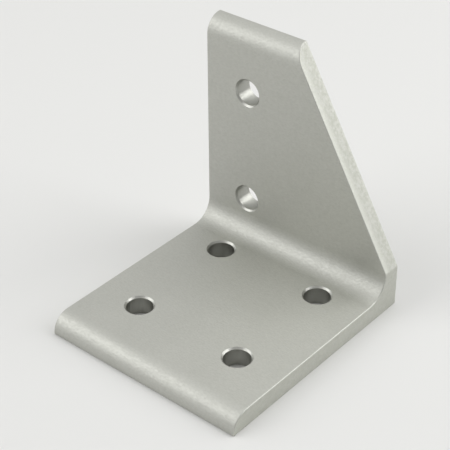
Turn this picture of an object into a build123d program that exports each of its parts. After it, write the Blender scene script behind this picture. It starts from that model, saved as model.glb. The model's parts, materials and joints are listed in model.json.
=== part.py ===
"""T-slot corner bracket: a sawn, drilled and deburred length of extruded aluminium angle.

Millimetres, +Z up. The base lies flat with its underside at Z = 0, and the upright stands at its +Y end.
The origin is the middle of the footprint. The width runs along X, the way the angle was extruded.
"""
import os

from build123d import *

# Extruded section
thickness = 6.35
inner_fillet = 7.2
outer_corner = 0.35
nose_land = 0.15

# Bolt holes, on the slot spacing of the profile that the bracket joins. Their rims are broken wider on the
# inner faces, where the screws go in, than on the underside and the back, which lie on the profiles.
hole_diameter = 8.33
hole_pitch = 38.1
hole_setback = 19.05
inner_rim_width = 0.55
outer_rim_width = 0.25
rim_angle = 90

# Metal left beyond the holes
side_margin = 15.95
base_margin = 20.85
upright_margin = 20.85

# Slanted cut on the right of the upright
taper_start = 14.0
top_margin = 17.1
taper_corner = 2.0

# Deburring of every sawn edge
edge_break = 0.3

# Sizes that follow
width = hole_pitch + 2 * side_margin
base_length = hole_setback + hole_pitch + base_margin
upright_height = hole_setback + hole_pitch + upright_margin
nose_radius = thickness - outer_corner - nose_land
hole_radius = hole_diameter / 2
inner_rim_radius = hole_radius + inner_rim_width
outer_rim_radius = hole_radius + outer_rim_width

# Places that follow
right = width / 2
front = -base_length / 2
back = base_length / 2
inner_face = back - thickness
column_x = -hole_pitch / 2
taper_top_x = column_x + top_margin
base_holes_y = back - hole_setback - hole_pitch / 2
upright_holes_z = hole_setback + hole_pitch / 2

os.makedirs("parts", exist_ok=True)

with BuildPart() as corner_bracket:
    # The angle, extruded along the width, with a fillet inside the corner and a round nose on each free end
    with BuildSketch(Plane.YZ) as section:
        with BuildLine():
            Polyline(
                (front, 0),
                (back, 0),
                (back, upright_height),
                (inner_face, upright_height),
                (inner_face, thickness),
                (front, thickness),
                close=True,
            )
        make_face()
        rounded_corners = [
            ((inner_face, thickness), inner_fillet),
            ((front, thickness), nose_radius),
            ((inner_face, upright_height), nose_radius),
            ((front, 0), outer_corner),
            ((back, 0), outer_corner),
            ((back, upright_height), outer_corner),
        ]
        for corner, radius in rounded_corners:
            fillet(section.vertices().sort_by_distance(corner)[0], radius)
    extrude(amount=width / 2, both=True)

    # The slanted saw cut that narrows the upright towards its top
    with BuildSketch(Plane.XZ):
        with BuildLine():
            Polyline(
                (right, taper_start),
                (taper_top_x, upright_height),
                (right, upright_height),
                close=True,
            )
        make_face()
    extrude(amount=base_length, both=True, mode=Mode.SUBTRACT)
    taper_edges = corner_bracket.edges().filter_by(Axis.Y).filter_by_position(Axis.Z, taper_start, taper_start)
    fillet(taper_edges, taper_corner)

    # Every edge round the sawn faces, broken with a file
    sawn_faces = corner_bracket.faces().filter_by(GeomType.PLANE).filter_by(lambda face: face.normal_at().X != 0)
    fillet(sawn_faces.edges(), edge_break)

    # Four holes through the base and two through the upright, each with both of its rims broken
    base_top = Plane(origin=(0, base_holes_y, thickness))
    underside = Plane(origin=(0, base_holes_y, 0), z_dir=(0, 0, -1))
    upright_front = Plane(origin=(column_x, inner_face, upright_holes_z), x_dir=(1, 0, 0), z_dir=(0, -1, 0))
    upright_back = Plane(origin=(column_x, back, upright_holes_z), x_dir=(1, 0, 0), z_dir=(0, 1, 0))
    hole_patterns = [
        (base_top, 2, inner_rim_radius),
        (underside, 2, outer_rim_radius),
        (upright_front, 1, inner_rim_radius),
        (upright_back, 1, outer_rim_radius),
    ]
    for face_plane, columns, rim_radius in hole_patterns:
        with Locations(face_plane):
            with GridLocations(hole_pitch, hole_pitch, columns, 2):
                CounterSinkHole(hole_radius, rim_radius, depth=thickness, counter_sink_angle=rim_angle)

corner_bracket.part.label = "corner_bracket"
export_step(corner_bracket.part, "parts/corner_bracket.step")
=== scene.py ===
import json
import math

import bmesh
import bpy
from mathutils import Matrix, Vector


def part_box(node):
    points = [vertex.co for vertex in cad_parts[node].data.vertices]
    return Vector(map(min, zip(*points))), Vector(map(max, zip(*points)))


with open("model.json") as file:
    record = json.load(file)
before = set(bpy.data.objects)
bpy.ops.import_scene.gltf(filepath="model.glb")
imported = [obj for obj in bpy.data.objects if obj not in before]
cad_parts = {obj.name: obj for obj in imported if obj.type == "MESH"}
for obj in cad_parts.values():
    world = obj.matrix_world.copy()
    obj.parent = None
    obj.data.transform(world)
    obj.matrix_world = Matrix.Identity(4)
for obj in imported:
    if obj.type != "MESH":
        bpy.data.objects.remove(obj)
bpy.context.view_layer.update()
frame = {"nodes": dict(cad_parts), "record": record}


# Corner bracket: a length of extruded aluminium angle, sawn square at the left, square and slantwise at the
# right, and drilled. Its sawn edges are filed, the slanted cut has a painted highlight along its borders, and
# all of it is etched and clear anodised. The die leaves lines along the skin, the saw arcs on its cuts, the
# drill rings.
bracket = frame["nodes"]["corner_bracket"]
low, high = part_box("corner_bracket")
mounts = {mount["name"]: mount for mount in frame["record"]["mounts"]}

hole_radius = mounts["base_holes"]["dims"]["hole_r_mm"] / 1000
hole_pitch = mounts["base_holes"]["dims"]["spacing_x_mm"] / 1000
base_middle = Vector(mounts["base_holes"]["pos_m"])
upright_middle = Vector(mounts["upright_holes"]["pos_m"])
plate_thickness = 0.00635
rim_width = 0.00055

# Width and wander of the painted highlight, a lighter band along the borders of the slanted face
highlight_band_width = 0.0028
highlight_band_wander = 0.0012
back_border_share = 0.4
saw_radius = 0.125

skin_colours = (0.531, 0.535, 0.497, 1.0), (0.569, 0.572, 0.535, 1.0)
sawn_colours = (0.580, 0.590, 0.533, 1.0), (0.668, 0.672, 0.631, 1.0)
# Colour of the painted highlight band on the slanted face
highlight_band_colour = (0.735, 0.742, 0.690, 1.0)
# Bores are painted darker than the skin: partly their own drilled tone, partly painted shade for the dim
# inside of the holes
bore_colour_with_painted_shade = (0.440, 0.443, 0.410, 1.0)
rim_colour = (0.535, 0.539, 0.503, 1.0)
filed_colour = (0.560, 0.564, 0.527, 1.0)

skin_roughness = 0.55
sawn_roughness = 0.64
bore_roughness = 0.38
rim_roughness = 0.40
filed_roughness = 0.52
grain_roughness = 0.20
sawn_mottle_roughness = 0.05
cloud_roughness = 0.05
die_line_roughness = 0.04

# Waves to the metre of each kind of mark, along each axis
die_line_waves = (5, 2400, 2400)
grain_waves = (1300, 2100, 2100)
cloud_waves = (55, 55, 55)
mottle_waves = (900, 900, 900)
saw_mark_waves = (1500, 1, 1)
drill_ring_waves = (3500, 3500, 1)

mark_height = 0.001        # a mark of height 1 stands one millimetre proud
grain_height = 0.0320
die_line_height = 0.0020
saw_mark_height = 0.0060
drill_ring_height = 0.0016

# How much of each mark the colours take up, and how strong a mark brings the palest colour
cloud_share, die_line_share, mottle_share = 0.4, 0.35, 0.5
square_cut_mottle = 0.35
skin_contrast, sawn_contrast = 0.5, 0.35

# Where one finish fades into the next: in metres, then by how far a face turns towards an axis, from 0 to 1
plate_fade = 0.0002
bore_slack, bore_fade = 0.00002, 0.00006
rim_fade = 0.0001
flat_facing = 0.85, 0.95
sawn_facing = 0.62, 0.82
filed_facing = 0.06, 0.20
slanted_facing = 0.30, 0.45


class Shade:
    """One socket of a material. Plain operators on it add the Math nodes that work them out."""

    def __init__(self, tree, socket=None):
        self.tree = tree
        self.socket = socket

    def node(self, kind, settings=None, inputs=None, output=0):
        made = self.tree.nodes.new(kind)
        for name, value in (settings or {}).items():
            setattr(made, name, value)
        for name, value in (inputs or {}).items():
            if isinstance(value, Shade):
                self.tree.links.new(value.socket, made.inputs[name])
            else:
                made.inputs[name].default_value = value
        return Shade(self.tree, made.outputs[output])

    def maths(self, operation, first, second=0.0):
        return self.node("ShaderNodeMath", {"operation": operation}, {0: first, 1: second})

    def __add__(self, other):
        return self.maths("ADD", self, other)

    def __sub__(self, other):
        return self.maths("SUBTRACT", self, other)

    def __mul__(self, other):
        return self.maths("MULTIPLY", self, other)

    def __radd__(self, other):
        return self.maths("ADD", other, self)

    def __rsub__(self, other):
        return self.maths("SUBTRACT", other, self)

    def __rmul__(self, other):
        return self.maths("MULTIPLY", other, self)

    def __abs__(self):
        return self.maths("ABSOLUTE", self)


def new_material(name):
    material = bpy.data.materials.new(name)
    material.use_nodes = True
    return material, material.node_tree.nodes["Principled BSDF"]


def rise(value, start, end):
    """0 before start, 1 after end, and smooth between."""
    settings = {"interpolation_type": "SMOOTHSTEP"}
    return value.node("ShaderNodeMapRange", settings, {"Value": value, "From Min": start, "From Max": end})


def blend(mask, under, over):
    """The colour under where the mask is 0, and over where it is 1."""
    return mask.node("ShaderNodeMix", {"data_type": "RGBA"}, {0: mask, 6: under, 7: over}, 2)


def parts_of(vector):
    return [vector.node("ShaderNodeSeparateXYZ", None, {"Vector": vector}, axis) for axis in "XYZ"]


def joined(first, second=0.0):
    return first.node("ShaderNodeCombineXYZ", None, {"X": first, "Y": second})


def length_of(first, second):
    flat = joined(first, second)
    return flat.node("ShaderNodeVectorMath", {"operation": "LENGTH"}, {0: flat}, "Value")


def noise(place, waves, detail=2.0):
    """Noise centred on 0, with so many waves to the metre along each axis."""
    stretched = place.node("ShaderNodeMapping", None, {"Vector": place, "Scale": waves})
    settings = {"Vector": stretched, "Scale": 1.0, "Detail": detail}
    return 2 * place.node("ShaderNodeTexNoise", None, settings) - 1


anodised, surface = new_material("anodised_aluminium")
shade = Shade(anodised.node_tree)
place = shade.node("ShaderNodeTexCoord", output="Object")
x, y, z = parts_of(place)
facing_x, facing_y, facing_z = parts_of(shade.node("ShaderNodeTexCoord", output="Normal"))

# Marks of the die, the etching bath, the saw and the drill
die_lines = noise(place, die_line_waves, detail=3.0)
etch_grain = noise(place, grain_waves, detail=3.0)
clouds = noise(place, cloud_waves, detail=3.0)
mottle = noise(place, mottle_waves, detail=4.0)
saw_arcs = noise(joined(length_of(y - high.y, z - (high.z + saw_radius))), saw_mark_waves)
drill_rings = noise(joined(z, y), drill_ring_waves)

# How far a point is from the axis of the nearest hole, found by folding the pattern onto one hole
from_base_axis = length_of(abs(x - base_middle.x) - hole_pitch / 2, abs(y - base_middle.y) - hole_pitch / 2)
from_upright_axis = length_of(x - upright_middle.x, abs(z - upright_middle.z) - hole_pitch / 2)
in_base = 1 - rise(z, plate_thickness, plate_thickness + plate_fade)
in_upright = rise(y, high.y - plate_thickness - plate_fade, high.y - plate_thickness)


def near_axis(radius, fade):
    near_base_axis = in_base * (1 - rise(from_base_axis, radius, radius + fade))
    near_upright_axis = in_upright * (1 - rise(from_upright_axis, radius, radius + fade))
    return shade.maths("MAXIMUM", near_base_axis, near_upright_axis)


# Bores and hole rims. A rim slopes, so the flat metal beside a narrower rim keeps its skin.
bore = near_axis(hole_radius + bore_slack, bore_fade)
hole = near_axis(hole_radius + rim_width, rim_fade)
flat = rise(shade.maths("MAXIMUM", abs(facing_y), abs(facing_z)), *flat_facing)
rim = (hole - bore) * (1 - flat)

# Sawn faces, and the filed edges that slope off from them
sawn = (1 - hole) * rise(abs(facing_x), *sawn_facing)
filed = (1 - hole) * rise(abs(facing_x), *filed_facing) - sawn

# Painted highlight: a lighter band along the borders of the slanted face, with ragged edges, wider and
# lighter in front than at the back
slanted = sawn * rise(facing_z, *slanted_facing)
from_front = y - (high.y - plate_thickness) + highlight_band_wander * mottle
front_border = 1 - rise(from_front, 0.0, highlight_band_width)
back_border = rise(from_front, plate_thickness - 0.5 * highlight_band_width, plate_thickness)
highlight_band = slanted * (front_border + back_border_share * back_border)

skin_marks = cloud_share * clouds + die_line_share * die_lines + mottle_share * mottle
sawn_marks = (square_cut_mottle + (1 - square_cut_mottle) * slanted) * mottle
skin = blend(rise(skin_marks, -skin_contrast, skin_contrast), *skin_colours)
sawn_faces = blend(rise(sawn_marks, -sawn_contrast, sawn_contrast), *sawn_colours)
# The painted highlight band is laid over the sawn faces
sawn_faces = blend(highlight_band, sawn_faces, highlight_band_colour)
colour = blend(sawn, skin, sawn_faces)
# Bores: a darker colour, partly painted shade for the dim inside of the holes
colour = blend(bore, colour, bore_colour_with_painted_shade)
colour = blend(rim, colour, rim_colour)
colour = blend(filed, colour, filed_colour)

roughness = skin_roughness + cloud_roughness * clouds + die_line_roughness * die_lines
roughness = roughness + grain_roughness * etch_grain
roughness = roughness + sawn * (sawn_roughness - skin_roughness + sawn_mottle_roughness * mottle)
roughness = roughness + bore * (bore_roughness - skin_roughness)
roughness = roughness + rim * (rim_roughness - skin_roughness)
roughness = roughness + filed * (filed_roughness - skin_roughness)

height = etch_grain * grain_height * (1 - bore)
height = height + die_lines * die_line_height * (1 - sawn) * (1 - hole)
height = height + saw_arcs * saw_mark_height * sawn + drill_rings * drill_ring_height * bore
bumped = shade.node("ShaderNodeBump", None, {"Distance": mark_height, "Height": height})

surface.inputs["Metallic"].default_value = 1.0
for name, value in (("Base Color", colour), ("Roughness", roughness), ("Normal", bumped)):
    shade.tree.links.new(value.socket, surface.inputs[name])

bracket.data.materials.clear()
bracket.data.materials.append(anodised)


# Floor: a wide flat sheet with a plain, pale, matt face that the bracket stands on. It belongs to the studio
# and not to the bracket.
floor_reach = 3.0
floor_colour = (0.76, 0.76, 0.75, 1.0)
floor_roughness = 1.0
floor_shine = 0.1

sheet = bmesh.new()
bmesh.ops.create_grid(sheet, x_segments=1, y_segments=1, size=floor_reach)
floor_mesh = bpy.data.meshes.new("floor")
sheet.to_mesh(floor_mesh)
sheet.free()
floor = bpy.data.objects.new("floor", floor_mesh)
bpy.context.scene.collection.objects.link(floor)

pale, pale_surface = new_material("pale_floor")
pale_surface.inputs["Base Color"].default_value = floor_colour
pale_surface.inputs["Roughness"].default_value = floor_roughness
pale_surface.inputs["Specular IOR Level"].default_value = floor_shine
floor_mesh.materials.append(pale)


# Light: a pale room, a little brighter on its left, with a large soft lamp to each side of the camera and a
# weaker one overhead. The room is the background too, the same for the camera as for the metal.
room_colour = (1.0, 1.0, 0.985, 1.0)
room_glow = 0.35

# The way towards each lighter side of the room, and what it adds to the glow
room_sides = {
    "ceiling": ((0.00, 0.00, 1.00), 0.11),
    "back_left_wall": ((-0.60, 0.71, 0.37), 0.25),
    "front_left_wall": ((-0.70, -0.62, 0.35), 0.11),
}

# The way towards each lamp, its distance and width in metres, and its power in watts
lamps = {
    "left_lamp": ((-0.60, -0.555, 0.57), 1.10, 1.10, 4.55),
    "right_lamp": ((0.60, 0.56, 0.57), 1.00, 0.90, 4.36),
    "overhead_lamp": ((0.00, 0.35, 0.94), 1.00, 0.60, 1.74),
}

world = bpy.data.worlds.new("pale_room")
bpy.context.scene.world = world
world.use_nodes = True
room = world.node_tree.nodes["Background"]
way = Shade(world.node_tree).node("ShaderNodeTexCoord", output="Generated")
glow = room_glow
for direction, strength in room_sides.values():
    along = {0: way, 1: direction}
    towards = way.node("ShaderNodeVectorMath", {"operation": "DOT_PRODUCT"}, along, "Value")
    glow = glow + strength * rise(towards, 0.0, 1.0)
room.inputs["Color"].default_value = room_colour
world.node_tree.links.new(glow.socket, room.inputs["Strength"])

middle = (low + high) / 2
for name, (direction, distance, width, power) in lamps.items():
    lamp = bpy.data.lights.new(name, "AREA")
    lamp.shape = "DISK"
    lamp.size = width
    lamp.energy = power
    holder = bpy.data.objects.new(name, lamp)
    direction = Vector(direction).normalized()
    holder.location = middle + distance * direction
    holder.rotation_euler = direction.to_track_quat("Z", "Y").to_euler()
    bpy.context.scene.collection.objects.link(holder)


# Camera: a long lens that looks down on the bracket from the front right. Its place, tilt and lens were
# fitted to the bracket's edges and hole rims in the photograph.
camera_azimuth = math.radians(40.247)
camera_elevation = math.radians(34.316)
camera_roll = math.radians(-0.340)
camera_distance = 0.40275
camera_aim = Vector((-0.00444, 0.00455, 0.030))
focal_length = 108.85
sensor_width = 36.0

back_of_camera = Vector((
    math.sin(camera_azimuth) * math.cos(camera_elevation),
    -math.cos(camera_azimuth) * math.cos(camera_elevation),
    math.sin(camera_elevation),
))
level_right = Vector((math.cos(camera_azimuth), math.sin(camera_azimuth), 0))
level_up = back_of_camera.cross(level_right)
camera_right = math.cos(camera_roll) * level_right + math.sin(camera_roll) * level_up
camera_up = back_of_camera.cross(camera_right)
turned = Matrix((camera_right, camera_up, back_of_camera)).transposed().to_4x4()

lens = bpy.data.cameras.new("camera")
lens.lens = focal_length
lens.sensor_width = sensor_width
camera = bpy.data.objects.new("camera", lens)
camera.matrix_world = Matrix.Translation(camera_aim + camera_distance * back_of_camera) @ turned
bpy.context.scene.collection.objects.link(camera)
bpy.context.scene.camera = camera
bpy.context.scene.view_settings.view_transform = "Standard"
